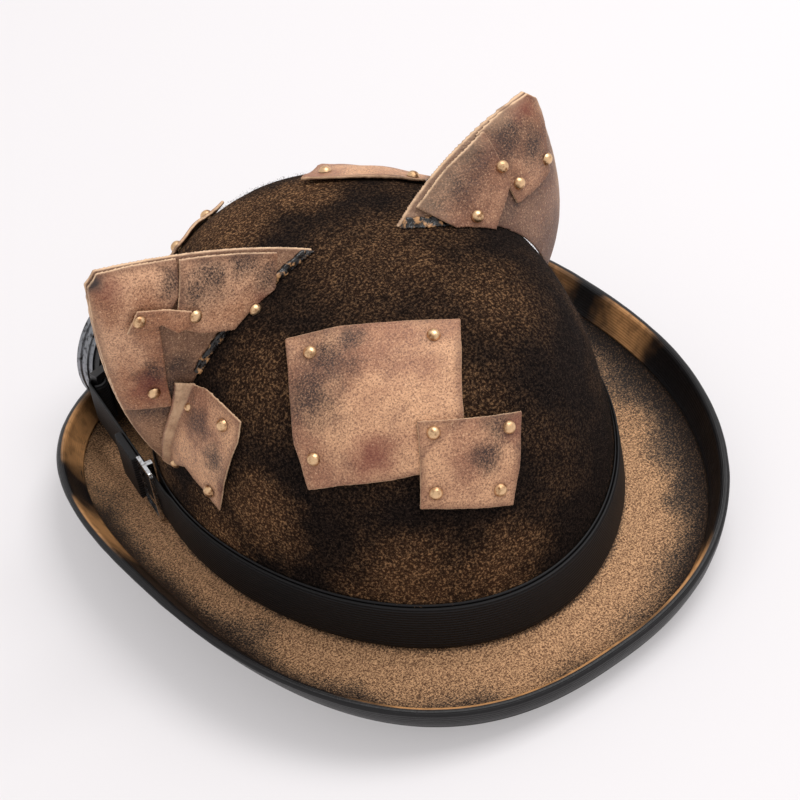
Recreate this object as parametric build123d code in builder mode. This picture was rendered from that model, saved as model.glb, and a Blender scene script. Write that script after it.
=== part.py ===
from build123d import *

import os
from math import acos, atan2, cos, hypot, radians, sin, sqrt

os.makedirs("parts", exist_ok=True)

# A costume bowler hat with leather ears, riveted patches and goggles on its front.
# Millimetres. +Z up, the front of the hat towards -Y, the wearer's left towards +X.
# Origin: on the surface it stands on, at the middle of the head opening.

# Crown: a rounded block, egg-shaped in plan, on a base that is higher at the sides than front and back.
HALF_WIDTH = 85.4
HALF_DEPTH = 103.0
CROWN_BASE = 13.7
CROWN_RISE = 115.2
CROWN_FULLNESS = 0.788
BASE_SADDLE = 6.5
FELT = 2.5

# Brim: its edge is a squarish oval, curled up, highest at the sides.
RIM_HALF_WIDTH = 116.1
RIM_HALF_DEPTH = 140.7
RIM_POWER = 2.44
RIM_HEIGHT = 24.4
RIM_SADDLE = 10.1
BRIM_DIP = 7.35
BRIM_FLAT = 0.42
SIDE_LIFT = 4.0
SIDE_FLARE = 0.27
BINDING_THICK = 0.7
BINDING_START = 0.75
LAYER_GAP = 0.1

# Bands round the crown.
RIBBON_HEIGHT = 22.6
RIBBON_THICK = 0.7
STRAP_HEIGHT = 21.0
STRAP_THICK = 1.3
SWEATBAND_HEIGHT = 34.0
SWEATBAND_THICK = 1.1

# Leather and rivets.
LEATHER = 1.2
EAR_LEATHER = 1.6
RIVET_HEAD = 2.55
RIVET_DOME = 1.9
RIVET_SHANK = 1.0
RIVET_CAP = 2.1
RIVET_CAP_THICK = 0.6
RIVET_GAP = 0.1
HEAD_GAP = 0.3
REAR_GAP = 0.2
EAR_TIP_HALF = 3.0
GLUE_HEIGHT = 3.0

# Goggles: each cup points forward and a little outward.
CUP_X = 41.0
CUP_FRONT_Y = -127.0
CUP_Z = 33.6
CUP_YAW = 10.0
RING_RADIUS = 26.5
RING_LENGTH = 10.0
RING_THICK = 2.6
CUP_DEPTH = 27.0
CUP_RADIUS = 22.6
CUP_HOLLOW = 18.5
PAD_DEPTH = 33.0
LENS_RADIUS = 23.3
LENS_FRONT = 2.0
LENS_THICK = 2.0
LIP_RADIUS = 20.5
LUG_BACK = 18.5
LUG_MIDDLE = 26.5
LUG_SIZE = (9.0, 4.0, 28.0)
BAR_OUT = 29.7
LOOP_RADIUS = 3.25
TAB_MIDDLE = 27.5
TAB_SIZE = (11.0, 3.0, 12.0)
BRIDGE_Y = -114.8
BRIDGE_HALF = 13.5
BRIDGE_THICK = 1.5
RUNNING_GAP = 0.3

# The strap's straight run at each side, and the slider on the left one.
STRAP_LOW = 20.4
SLIDER_FROM_CROWN = 22.0
SLIDER_LENGTH = 15.0
SLIDER_BAR = 1.5
SLIDER_RAIL = 1.8
INNER_BAR = 1.2
FOLD_THICK = 3.2
FOLD_LENGTH = 19.0

# Directions of the brim's sections: its left half and a little past the middle plane.
SECTION_TURNS = range(-105, 106, 15)


# ---------------------------------------------------------------- shared geometry

def crown_outline(offset):
    """Control points (radius, height) of the crown's profile, base to apex, at an offset from the felt."""
    radius = HALF_DEPTH + offset
    top = CROWN_BASE + CROWN_RISE + offset
    shoulder = CROWN_BASE + CROWN_FULLNESS * (CROWN_RISE + offset)
    return [(radius, CROWN_BASE), (radius, shoulder), (CROWN_FULLNESS * radius, top), (0, top)]


def crown_layer(inner, outer):
    """Adds a shell of the crown's shape between two offsets, from the table up, to the open part."""
    with BuildSketch(Plane.XZ) as profile:
        with BuildLine():
            outside = crown_outline(outer)
            inside = crown_outline(inner)
            Line((outside[0][0], 0), outside[0])
            Bezier(*outside)
            Line(outside[-1], inside[-1])
            Bezier(*inside)
            Line(inside[0], (inside[0][0], 0))
            Line((inside[0][0], 0), (outside[0][0], 0))
        make_face()
    revolve(profile.sketch, axis=Axis.Z)
    scale(by=(HALF_WIDTH / HALF_DEPTH, 1, 1))


def between_heights(low, high):
    """Sketch for Plane.YZ: the zone between two copies of the crown's curved base line."""
    reach = 160.0
    middle = CROWN_BASE + BASE_SADDLE
    fall = 2 * BASE_SADDLE * (reach / HALF_DEPTH) ** 2
    with BuildSketch(Plane.YZ) as zone:
        with BuildLine():
            ends = middle - fall
            Bezier((-reach, ends + low), (0, middle + fall + low), (reach, ends + low))
            Line((reach, ends + low), (reach, ends + high))
            Bezier((reach, ends + high), (0, middle + fall + high), (-reach, ends + high))
            Line((-reach, ends + high), (-reach, ends + low))
        make_face()
    return zone.sketch


def crown_spot(turn, climb):
    """Plane on the crown's outer face: turn goes round from the left side, climb from base 0 to apex 1."""
    rest = 1 - climb
    across = rest**3 + 3 * climb * rest**2 + 3 * climb**2 * rest * CROWN_FULLNESS
    up = 3 * rest**2 * climb * CROWN_FULLNESS + 3 * rest * climb**2 + climb**3
    across_rate = 6 * climb * rest * (CROWN_FULLNESS - 1) - 3 * climb**2 * CROWN_FULLNESS
    up_rate = 3 * rest**2 * CROWN_FULLNESS + 6 * climb * rest * (1 - CROWN_FULLNESS)
    along_x = cos(radians(turn))
    along_y = sin(radians(turn))
    normal = Vector(
        up_rate * CROWN_RISE * along_x / HALF_WIDTH,
        up_rate * CROWN_RISE * along_y / HALF_DEPTH,
        -across_rate,
    )
    origin = (HALF_WIDTH * across * along_x, HALF_DEPTH * across * along_y, CROWN_BASE + CROWN_RISE * up)
    return Plane(origin=origin, x_dir=Vector(0, 0, 1).cross(normal), z_dir=normal)


def outline_face(plane, points):
    """A flat face with straight edges through the points, on a plane."""
    with BuildSketch(plane) as face:
        with BuildLine():
            Polyline(*points, close=True)
        make_face()
    return face.sketch


def signed_power(value, power):
    size = abs(value) ** power
    return size if value >= 0 else -size


def brim_section(turn):
    """Plane of one radial section of the brim, and its reach, heights at crown and rim, dip and flare."""
    angle = radians(turn)
    root = Vector((HALF_WIDTH + LAYER_GAP) * cos(angle), (HALF_DEPTH + LAYER_GAP) * sin(angle))
    rim_x = RIM_HALF_WIDTH * signed_power(cos(angle), 2 / RIM_POWER)
    rim_y = RIM_HALF_DEPTH * signed_power(sin(angle), 2 / RIM_POWER)
    reach = Vector(rim_x, rim_y) - root
    plane = Plane(origin=root, x_dir=reach, z_dir=reach.cross(Vector(0, 0, 1)))
    root_z = CROWN_BASE + BASE_SADDLE * cos(2 * angle)
    rim_z = RIM_HEIGHT + RIM_SADDLE * cos(2 * angle)
    sideways = cos(angle) ** 4
    dip = BRIM_DIP - SIDE_LIFT * sideways
    flare = 0.97 - SIDE_FLARE * sideways
    return plane, (reach.length, root_z, rim_z, dip, flare)


def top_curve(shape, lift):
    """Control points of the brim's upper face, from the crown out to the rim, lifted off by a distance."""
    reach, root_z, rim_z, dip, flare = shape
    low = root_z - dip + lift
    edge = reach - FELT - lift
    return [(0, root_z + lift), (BRIM_FLAT * reach, low), (flare * edge, low), (edge, rim_z)]


def under_curve(shape, drop):
    """Control points of the brim's under face, dropped off by a distance."""
    reach, root_z, rim_z, dip, flare = shape
    low = root_z - FELT - dip - drop
    edge = reach + drop
    return [(0, root_z - FELT - drop), (BRIM_FLAT * reach, low), (flare * reach + drop, low), (edge, rim_z)]


def tail_of(points, start):
    """The last stretch of a Bezier curve, from a share of its length to its end."""
    tail = [points[-1]]
    level = points
    while len(level) > 1:
        level = [
            (a[0] + start * (b[0] - a[0]), a[1] + start * (b[1] - a[1]))
            for a, b in zip(level, level[1:])
        ]
        tail.append(level[-1])
    return tail[::-1]


def ring_from_half(sections):
    """Lofts sections that reach past the middle plane, keeps one side and mirrors it."""
    loft(sections)
    split(bisect_by=Plane.YZ, keep=Keep.TOP)
    mirror(about=Plane.YZ)


class Ear:
    """One ear: a bent leather sheet on two base points of the crown, narrowing to its tip."""

    def __init__(self, left, right, tip, sag, left_bulge, right_bulge):
        self.left = Vector(*left)
        self.right = Vector(*right)
        middle = (self.left + self.right) * 0.5
        across = self.right - self.left
        self.half = across.length / 2
        self.plane = Plane(origin=middle, x_dir=across, z_dir=across.cross(Vector(*tip) - middle))
        self.tip = self.plane.to_local_coords(Vector(*tip))
        self.sag = sag
        self.left_bulge = left_bulge
        self.right_bulge = right_bulge

    def edges(self, share):
        """Distances of the left and right edge from the middle line, and the bend's height, up the ear."""
        bulge = 4 * share * (1 - share)
        straight = (1 - share) * self.half + share * EAR_TIP_HALF
        bend = self.sag * max(1 - share, 0) ** 0.7 + 0.4
        return straight + bulge * self.left_bulge, straight + bulge * self.right_bulge, bend

    def layer(self, near, far):
        """Adds the sheet between two distances from its front face to the open part."""
        sections = []
        for share in (-0.08, 0.0, 0.25, 0.5, 0.75, 1.0):
            left, right, bend = self.edges(share)
            origin = self.plane.from_local_coords((self.tip.X * share, self.tip.Y * share, 0))
            across_plane = Plane(origin=origin, x_dir=self.plane.x_dir, z_dir=self.plane.y_dir * -1)
            middle = (right - left) / 2
            with BuildSketch(across_plane, mode=Mode.PRIVATE) as section:
                with BuildLine():
                    ThreePointArc((-left, far), (middle, bend + far), (right, far))
                    Line((right, far), (right, near))
                    ThreePointArc((right, near), (middle, bend + near), (-left, near))
                    Line((-left, near), (-left, far))
                make_face()
            sections.append(section.sketch)
        loft(sections)

    def trim(self, points):
        """Cuts the open part to an outline drawn on the ear's plane, and off the crown."""
        extrude(outline_face(self.plane, points), amount=60, both=True, mode=Mode.INTERSECT)
        add(crown_core(LAYER_GAP), mode=Mode.SUBTRACT)

    def spot(self, x, y, height):
        """Plane square to the sheet at a place on the ear's plane, at a height over its front face."""
        share = y / self.tip.Y
        left, right, bend = self.edges(share)
        half = (left + right) / 2
        off_middle = x - self.tip.X * share - (right - left) / 2
        radius = (half**2 + bend**2) / (2 * bend)
        rise = sqrt(radius**2 - off_middle**2) - (radius - bend)
        tilt = Vector(off_middle / radius, 0, sqrt(1 - (off_middle / radius) ** 2))
        origin = self.plane.from_local_coords((x, y, rise) + tilt * height)
        normal = self.plane.from_local_coords(tilt) - self.plane.origin
        return Plane(origin=origin, x_dir=self.plane.y_dir, z_dir=normal)


def crown_core(offset):
    """The whole space inside the crown's outer face, grown by an offset."""
    with BuildPart(mode=Mode.PRIVATE) as core:
        with BuildSketch(Plane.XZ) as profile:
            with BuildLine():
                outside = crown_outline(offset)
                Line((0, 0), (outside[0][0], 0))
                Line((outside[0][0], 0), outside[0])
                Bezier(*outside)
                Line(outside[-1], (0, 0))
            make_face()
        revolve(axis=Axis.Z)
        scale(by=(HALF_WIDTH / HALF_DEPTH, 1, 1))
    return core.part


def rivet_at(plane, grip, gap=0):
    """Adds a rivet, grown by a gap, to the open part: head on the plane, shank through the grip, cap."""
    profile_plane = Plane(origin=plane.origin, x_dir=plane.x_dir, z_dir=plane.x_dir.cross(plane.z_dir))
    head = RIVET_HEAD + gap
    dome = RIVET_DOME + gap
    shank = RIVET_SHANK + gap
    cap = RIVET_CAP + gap
    cap_top = gap - grip
    foot = -grip - RIVET_CAP_THICK - gap
    with BuildSketch(profile_plane, mode=Mode.PRIVATE) as profile:
        with BuildLine():
            ThreePointArc((0, dome), (head * 0.75, dome * 0.62), (head, 0))
            Polyline((head, 0), (shank, 0), (shank, cap_top), (cap, cap_top), (cap, foot), (0, foot))
            Line((0, foot), (0, dome))
        make_face()
    revolve(profile.sketch, axis=Axis(plane.origin, plane.z_dir))


def rivet_row(places, gap=0):
    """One part of a rivet at each (plane, grip), grown by a gap."""
    with BuildPart() as row:
        for plane, grip in places:
            rivet_at(plane, grip, gap)
    return row


def make_room(*rows):
    """Cuts the holes and seats of rivets out of the open part."""
    for row in rows:
        add(row.part, mode=Mode.SUBTRACT)


def mirrored(piece):
    """The same piece on the other side of the hat."""
    with BuildPart() as copy:
        mirror(piece.part, about=Plane.YZ)
    return copy


pieces = {}


# ---------------------------------------------------------------- leather on the crown

large_place = crown_spot(57.3, 0.57)
large_outline = [
    (-32, 26.5), (-12, 29), (31, 28), (29.5, -8), (26.5, -27),
    (10, -27.5), (2, -28.5), (-29, -28), (-32, -12), (-32, 10),
]
small_place = crown_spot(76.6, 0.37)
small_outline = [(-13, 19.5), (25, 9), (12, -23), (-21, -12)]
top_place = crown_spot(-148.4, 0.77)
top_outline = [(29, 6), (36, -26), (-8, -38), (-14.5, -12.5), (4.5, -4), (13.5, 0.5)]
front_place = crown_spot(-72, 0.44)
front_outline = [(-17, 13), (15, 15), (17, -12), (-14, -14)]
kite_place = crown_spot(4.6, 0.35)
kite_outline = [
    (-25, 11.5), (-14, 16.5), (-4, 19), (8, 17.5), (17.5, 15.5), (18, 7.5), (15, -4.5), (8.5, -27.5),
    (-1, -22.5), (-12, -18.5), (-38, -31), (-31.5, -13),
]

low_layer = (LAYER_GAP, LAYER_GAP + LEATHER)
high_layer = (LAYER_GAP + low_layer[1], LAYER_GAP + low_layer[1] + LEATHER)
low_grip = low_layer[1] + HEAD_GAP + FELT + REAR_GAP
high_grip = high_layer[1] + HEAD_GAP + FELT + REAR_GAP

large_rivets = [crown_spot(34.8, 0.69), crown_spot(85.4, 0.69), crown_spot(37.5, 0.41)]
small_rivets = [crown_spot(70.2, 0.46), crown_spot(90.4, 0.4), crown_spot(66.5, 0.32), crown_spot(82.2, 0.28)]
top_rivets = [crown_spot(-123, 0.69), crown_spot(-158, 0.65)]
front_rivets = [crown_spot(-64.7, 0.48), crown_spot(-80, 0.5), crown_spot(-66, 0.34), crown_spot(-79, 0.35)]
kite_rivets = [crown_spot(10.7, 0.42), crown_spot(6.7, 0.23)]

low_spots = large_rivets + top_rivets + front_rivets + kite_rivets
crown_rivet_places = [(spot.offset(low_layer[1] + HEAD_GAP), low_grip) for spot in low_spots]
crown_rivet_places += [(spot.offset(high_layer[1] + HEAD_GAP), high_grip) for spot in small_rivets]
crown_rivets = rivet_row(crown_rivet_places)
crown_rivet_room = rivet_row(crown_rivet_places, RIVET_GAP)
pieces["crown_rivets"] = crown_rivets

for name, place, outline, layer in (
    ("large_crown_patch", large_place, large_outline, low_layer),
    ("small_crown_patch", small_place, small_outline, high_layer),
    ("top_crown_patch", top_place, top_outline, low_layer),
    ("front_crown_patch", front_place, front_outline, low_layer),
):
    with BuildPart() as patch:
        crown_layer(*layer)
        extrude(outline_face(place, outline), amount=25, both=True, mode=Mode.INTERSECT)
        make_room(crown_rivet_room)
    pieces[name] = patch


# ---------------------------------------------------------------- places of the ears

left_ear = Ear((81.5, -22, 59), (9.5, -7, 129), (94, -18.5, 160), 14, 9, 4)
right_ear = Ear((-22.5, 5, 129), (-83, 0, 63.5), (-95, -5, 144), 22, 6, 17)

first = (EAR_LEATHER + LAYER_GAP, EAR_LEATHER + LAYER_GAP + LEATHER)
second = (first[1] + LAYER_GAP, first[1] + LAYER_GAP + LEATHER)
third = (second[1] + LAYER_GAP, second[1] + LAYER_GAP + LEATHER)

left_tip_outline = [
    (9, 90), (22, 92), (33, 57), (21, 48), (10, 49), (7, 51),
    (-12.5, 34), (-23, 23), (-36, 37), (-34, 42), (-14, 68),
]
left_square_outline = [(33, 55), (56, 20), (22, 8), (9.5, 34), (7.5, 44)]
left_strip_outline = [(-2, 60), (8, 62), (13, 52), (16, 42), (13, 38), (6.5, 43), (7, 50.5)]
left_flap_outline = [(-13, 30), (-10, 23), (-8, 0), (-50, -12), (-50, 5), (-35.5, 17), (-23, 23.5)]
right_lower_outline = [(-27, 46), (-52, 8), (-16, 6), (-12.5, 30)]
right_tip_outline = [(-30, 44), (-12, 70), (0, 70), (5, 51), (11, 40), (-6, 24), (-12.5, 29)]

left_rivet_places = [(-19.8, 33.3, first), (14.1, 40.3, third), (23.9, 17.5, second), (5.1, 59.4, third)]
left_rivet_places += [(-18.4, 18.7, second), (-44.7, 2.0, second)]
right_rivet_places = [(-16.2, 34.5, second), (-22.3, 13.7, second), (5.7, 44.1, first), (-7.1, 31.3, first)]

rivet_room = {}
for side, ear, places in (("left", left_ear, left_rivet_places), ("right", right_ear, right_rivet_places)):
    ear_rivet_places = []
    for x, y, layer in places:
        head_height = layer[1] + HEAD_GAP
        ear_rivet_places.append((ear.spot(x, y, head_height), head_height + REAR_GAP))
    pieces[f"{side}_ear_rivets"] = rivet_row(ear_rivet_places)
    rivet_room[side] = rivet_row(ear_rivet_places, RIVET_GAP)


# ---------------------------------------------------------------- felt body

with BuildPart() as crown_felt:
    crown_layer(-FELT, 0)
    extrude(between_heights(-FELT, 200), amount=150, both=True, mode=Mode.INTERSECT)
    make_room(crown_rivet_room, rivet_room["left"], rivet_room["right"])
pieces["crown_felt"] = crown_felt

with BuildPart() as brim_felt:
    brim_sections = []
    for section_turn in SECTION_TURNS:
        section_plane, shape = brim_section(section_turn)
        with BuildSketch(section_plane, mode=Mode.PRIVATE) as section:
            with BuildLine():
                top = top_curve(shape, 0)
                under = under_curve(shape, 0)
                Bezier(*top)
                Line(top[-1], under[-1])
                Bezier(*under[::-1])
                Line(under[0], top[0])
            make_face()
        brim_sections.append(section.sketch)
    ring_from_half(brim_sections)
pieces["brim_felt"] = brim_felt

with BuildPart() as brim_binding:
    binding_sections = []
    skin = LAYER_GAP + BINDING_THICK
    for section_turn in SECTION_TURNS:
        section_plane, shape = brim_section(section_turn)
        reach, root_z, rim_z, dip, flare = shape
        middle = reach - FELT / 2
        with BuildSketch(section_plane, mode=Mode.PRIVATE) as section:
            with BuildLine():
                outer_face = tail_of(under_curve(shape, skin), BINDING_START)
                outer_lining = tail_of(under_curve(shape, LAYER_GAP), BINDING_START)
                inner_face = tail_of(top_curve(shape, skin), BINDING_START)
                inner_lining = tail_of(top_curve(shape, LAYER_GAP), BINDING_START)
                Bezier(*outer_face)
                ThreePointArc(outer_face[-1], (middle, rim_z + 0.5 + skin), inner_face[-1])
                Bezier(*inner_face[::-1])
                Line(inner_face[0], inner_lining[0])
                Bezier(*inner_lining)
                ThreePointArc(inner_lining[-1], (middle, rim_z + 0.5), outer_lining[-1])
                Bezier(*outer_lining[::-1])
                Line(outer_lining[0], outer_face[0])
            make_face()
        binding_sections.append(section.sketch)
    ring_from_half(binding_sections)
pieces["brim_binding"] = brim_binding

with BuildPart() as hat_ribbon:
    crown_layer(LAYER_GAP, LAYER_GAP + RIBBON_THICK)
    extrude(between_heights(0.3, RIBBON_HEIGHT), amount=150, both=True, mode=Mode.INTERSECT)
pieces["hat_ribbon"] = hat_ribbon

with BuildPart() as sweatband:
    crown_layer(-FELT - LAYER_GAP - SWEATBAND_THICK, -FELT - LAYER_GAP)
    extrude(between_heights(-FELT + 0.5, SWEATBAND_HEIGHT), amount=150, both=True, mode=Mode.INTERSECT)
pieces["sweatband"] = sweatband


# ---------------------------------------------------------------- ears

for side, ear in (("left", left_ear), ("right", right_ear)):
    with BuildPart() as ear_shell:
        ear.layer(0, EAR_LEATHER)
        add(crown_core(LAYER_GAP), mode=Mode.SUBTRACT)
        make_room(rivet_room[side])
    pieces[f"{side}_ear_shell"] = ear_shell

for name, ear, outline, layer in (
    ("left_ear_tip_patch", left_ear, left_tip_outline, first),
    ("left_ear_square_patch", left_ear, left_square_outline, second),
    ("left_ear_strip_patch", left_ear, left_strip_outline, third),
    ("right_ear_tip_patch", right_ear, right_tip_outline, first),
    ("right_ear_lower_patch", right_ear, right_lower_outline, second),
):
    with BuildPart() as ear_patch:
        ear.layer(*layer)
        ear.trim(outline)
        make_room(rivet_room[name.split("_")[0]])
    pieces[name] = ear_patch

with BuildPart() as left_flap:
    left_ear.layer(*second)
    left_ear.trim(left_flap_outline)

with BuildPart() as front_of_left_ear:
    left_ear.layer(-40, second[0])

with BuildPart() as left_ear_base_patch:
    crown_layer(*low_layer)
    extrude(outline_face(kite_place, kite_outline), amount=25, both=True, mode=Mode.INTERSECT)
    add(front_of_left_ear.part, mode=Mode.SUBTRACT)
    split(bisect_by=left_ear.plane.offset(FELT))
    add(left_flap.part)
    make_room(crown_rivet_room, rivet_room["left"])
pieces["left_ear_base_patch"] = left_ear_base_patch

with BuildPart() as glue_height:
    crown_layer(LAYER_GAP, LAYER_GAP + GLUE_HEIGHT)

left_glue_outline = [(-6, -10), (-6, 40), (75, 40), (75, -30)]
right_glue_outline = [(-70, -30), (-70, 30), (-14, 30), (-14, -30)]
for side, ear, outline in (("left", left_ear, left_glue_outline), ("right", right_ear, right_glue_outline)):
    with BuildPart() as ear_glue:
        ear.layer(first[0] - 0.05, first[1])
        ear.trim(outline)
        add(glue_height.part, mode=Mode.INTERSECT)
        make_room(rivet_room[side])
    pieces[f"{side}_ear_glue"] = ear_glue


# ---------------------------------------------------------------- goggles

forward = Vector(sin(radians(CUP_YAW)), -cos(radians(CUP_YAW)), 0)
outward = Vector(cos(radians(CUP_YAW)), sin(radians(CUP_YAW)), 0)
ring_front = Vector(CUP_X, CUP_FRONT_Y, CUP_Z)
cup_axis = Axis(ring_front, forward)
# In this plane x is the distance from the cup's axis, and y is minus the depth behind the ring's front.
cup_plane = Plane(origin=ring_front, x_dir=outward, z_dir=(0, 0, -1))
thread_radius = RING_RADIUS - RING_THICK
lens_back = LENS_FRONT + LENS_THICK


def turned(points):
    """Adds a closed outline of (radius, depth) points, turned about the cup's axis, to the open part."""
    revolve(outline_face(cup_plane, [(radius, -depth) for radius, depth in points]), axis=cup_axis)


def plan_plane(height):
    """Horizontal plane at a height, with x outwards from the cup's axis and y back from the ring's front."""
    return Plane(origin=(CUP_X, CUP_FRONT_Y, height), x_dir=outward, z_dir=(0, 0, 1))


bridge_rivet_places = []
for side in (1, -1):
    head_middle = (side * 11.2, BRIDGE_Y - BRIDGE_THICK - 1.15, CUP_Z)
    head_plane = Plane(origin=head_middle, x_dir=(0, 0, 1), z_dir=(side * forward.X, forward.Y))
    bridge_rivet_places.append((head_plane, BRIDGE_THICK + 4.1))
bridge_rivet_room = rivet_row(bridge_rivet_places, RIVET_GAP)

groove_radius = RING_RADIUS - 0.7
front_lip = LENS_FRONT - 0.1

with BuildPart() as left_lens_ring:
    turned([
        (LIP_RADIUS, 0), (RING_RADIUS - 1.2, 0), (RING_RADIUS, 1.2),
        (RING_RADIUS, 3.2), (groove_radius, 3.6), (groove_radius, 4.4), (RING_RADIUS, 4.8),
        (RING_RADIUS, 7.4), (groove_radius, 7.8), (groove_radius, RING_LENGTH),
        (thread_radius, RING_LENGTH), (thread_radius, front_lip), (LIP_RADIUS, front_lip),
    ])

with BuildPart() as left_lens:
    turned([(0, LENS_FRONT), (LENS_RADIUS, LENS_FRONT), (LENS_RADIUS, lens_back), (0, lens_back)])

with BuildPart() as left_eyecup:
    neck = thread_radius - RUNNING_GAP
    collar = RING_RADIUS - 1.4
    bead = neck + 0.8
    shoulder = RING_LENGTH + RUNNING_GAP
    seat = lens_back + 0.1
    turned([
        (LIP_RADIUS, seat), (neck, seat), (neck, shoulder), (collar, shoulder),
        (collar, shoulder + 3), (neck, shoulder + 3.5), (neck, shoulder + 5), (bead, shoulder + 5.5),
        (bead, shoulder + 9), (CUP_RADIUS, shoulder + 9.5), (CUP_RADIUS, CUP_DEPTH),
        (CUP_HOLLOW, CUP_DEPTH), (CUP_HOLLOW, shoulder), (LIP_RADIUS, shoulder),
    ])
    for low, middle, size in ((STRAP_LOW - 3.5, LUG_MIDDLE, LUG_SIZE), (CUP_Z - 6, -TAB_MIDDLE, TAB_SIZE)):
        with BuildSketch(plan_plane(low)):
            with Locations((middle, LUG_BACK)):
                Rectangle(size[0], size[1])
        extrude(amount=size[2])
    with BuildSketch(plan_plane(STRAP_LOW - 0.5)):
        with Locations((BAR_OUT - 2.75, LUG_BACK)):
            Rectangle(2.9, LUG_SIZE[1])
    extrude(amount=STRAP_HEIGHT + 1, mode=Mode.SUBTRACT)
    make_room(bridge_rivet_room)

with BuildPart() as left_eyecup_pad:
    pad_front = CUP_DEPTH + 0.1
    turned([(CUP_HOLLOW, pad_front), (CUP_RADIUS, pad_front), (CUP_RADIUS, PAD_DEPTH), (CUP_HOLLOW, PAD_DEPTH)])
    add(crown_core(LAYER_GAP + RIBBON_THICK + 0.2), mode=Mode.SUBTRACT)

pieces["left_lens_ring"] = left_lens_ring
pieces["left_lens"] = left_lens
pieces["left_eyecup"] = left_eyecup
pieces["left_eyecup_pad"] = left_eyecup_pad
for name in ("lens_ring", "lens", "eyecup", "eyecup_pad"):
    pieces[f"right_{name}"] = mirrored(pieces[f"left_{name}"])

with BuildPart() as nose_bridge:
    with BuildSketch(Plane.XY.offset(CUP_Z - 6)):
        with BuildLine():
            for depth in (0, BRIDGE_THICK):
                face_y = BRIDGE_Y - depth
                ThreePointArc((-BRIDGE_HALF, face_y), (0, face_y - 2.5), (BRIDGE_HALF, face_y))
            for x in (-BRIDGE_HALF, BRIDGE_HALF):
                Line((x, BRIDGE_Y), (x, BRIDGE_Y - BRIDGE_THICK))
        make_face()
    extrude(amount=12)
    make_room(bridge_rivet_room)
pieces["nose_bridge"] = nose_bridge

pieces["nose_bridge_rivets"] = rivet_row(bridge_rivet_places)


# ---------------------------------------------------------------- elastic strap

strap_start = LAYER_GAP + RIBBON_THICK + LAYER_GAP
strap_depth = HALF_DEPTH + strap_start + STRAP_THICK / 2
strap_width = strap_depth * HALF_WIDTH / HALF_DEPTH


def touch_point(anchor):
    """Where a straight run from an anchor in front meets the strap's oval round the crown."""
    across = anchor.X / strap_width
    along = anchor.Y / strap_depth
    turn = atan2(along, across) + acos(1 / hypot(across, along))
    return Vector(strap_width * cos(turn), strap_depth * sin(turn))


bar = ring_front + outward * BAR_OUT - forward * LUG_BACK
bar = Vector(bar.X, bar.Y)
slant = (bar - touch_point(bar)).normalized()
run_out = Vector(-slant.Y, slant.X)
run_end = bar + run_out * LOOP_RADIUS
run_start = touch_point(run_end)
run_along = (run_end - run_start).normalized()
run_out = Vector(-run_along.Y, run_along.X)
half_strap = run_out * (STRAP_THICK / 2)

with BuildPart() as strap_run:
    with BuildSketch(Plane.XY.offset(STRAP_LOW)):
        with Locations(bar):
            Circle(LOOP_RADIUS + STRAP_THICK / 2)
            Circle(LOOP_RADIUS - STRAP_THICK / 2, mode=Mode.SUBTRACT)
        with BuildLine():
            tail = run_start - run_along * 1.5
            far_corners = (run_end + half_strap, run_end - half_strap)
            near_corners = (tail - half_strap, tail + half_strap)
            Polyline(*far_corners, *near_corners, close=True)
        make_face()
    extrude(amount=STRAP_HEIGHT)

with BuildPart() as goggle_strap:
    crown_layer(strap_start, strap_start + STRAP_THICK)
    extrude(between_heights(0.6, 0.6 + STRAP_HEIGHT), amount=150, both=True, mode=Mode.INTERSECT)
    with BuildSketch(Plane.XY):
        with Locations((0, run_start.Y - 100)):
            Rectangle(400, 200)
    extrude(amount=100, mode=Mode.SUBTRACT)
    add(strap_run.part)
    mirror(strap_run.part, about=Plane.YZ)
pieces["goggle_strap"] = goggle_strap

slider_middle = run_start + run_along * SLIDER_FROM_CROWN + Vector(0, 0, STRAP_LOW + STRAP_HEIGHT / 2)
slider_plane = Plane(origin=slider_middle, x_dir=run_along, z_dir=run_out)
strap_clear = STRAP_THICK / 2 + 0.15
slot_height = STRAP_HEIGHT + 0.6
slider_height = slot_height + 2 * SLIDER_RAIL

with BuildPart() as left_strap_slider:
    with BuildSketch(slider_plane.offset(strap_clear)):
        RectangleRounded(SLIDER_LENGTH, slider_height, 2)
        Rectangle(SLIDER_LENGTH - 2 * SLIDER_BAR, slot_height, mode=Mode.SUBTRACT)
    extrude(amount=SLIDER_BAR)
    with BuildSketch(slider_plane.offset(-strap_clear - INNER_BAR)):
        Rectangle(2.4, slider_height)
    extrude(amount=INNER_BAR)
    with BuildSketch(slider_plane.offset(-strap_clear)):
        with GridLocations(0, slot_height + SLIDER_RAIL, 1, 2):
            Rectangle(2.4, SLIDER_RAIL)
    extrude(amount=2 * strap_clear)
pieces["left_strap_slider"] = left_strap_slider

with BuildPart() as left_strap_fold:
    with BuildSketch(slider_plane.offset(strap_clear)):
        with Locations(((SLIDER_LENGTH + FOLD_LENGTH) / 2 + 0.1, 0)):
            Rectangle(FOLD_LENGTH, STRAP_HEIGHT)
    extrude(amount=FOLD_THICK)
    fillet(left_strap_fold.edges().filter_by(Axis.Z).group_by(SortBy.DISTANCE)[-1], 1.4)
pieces["left_strap_fold"] = left_strap_fold

for name, piece in pieces.items():
    piece.part.label = name
    export_step(piece.part, f"parts/{name}.step")
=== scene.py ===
from math import cos, pi, radians, sin, tau

import bpy
import numpy as np
from mathutils import Matrix, Vector, kdtree, noise


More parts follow.
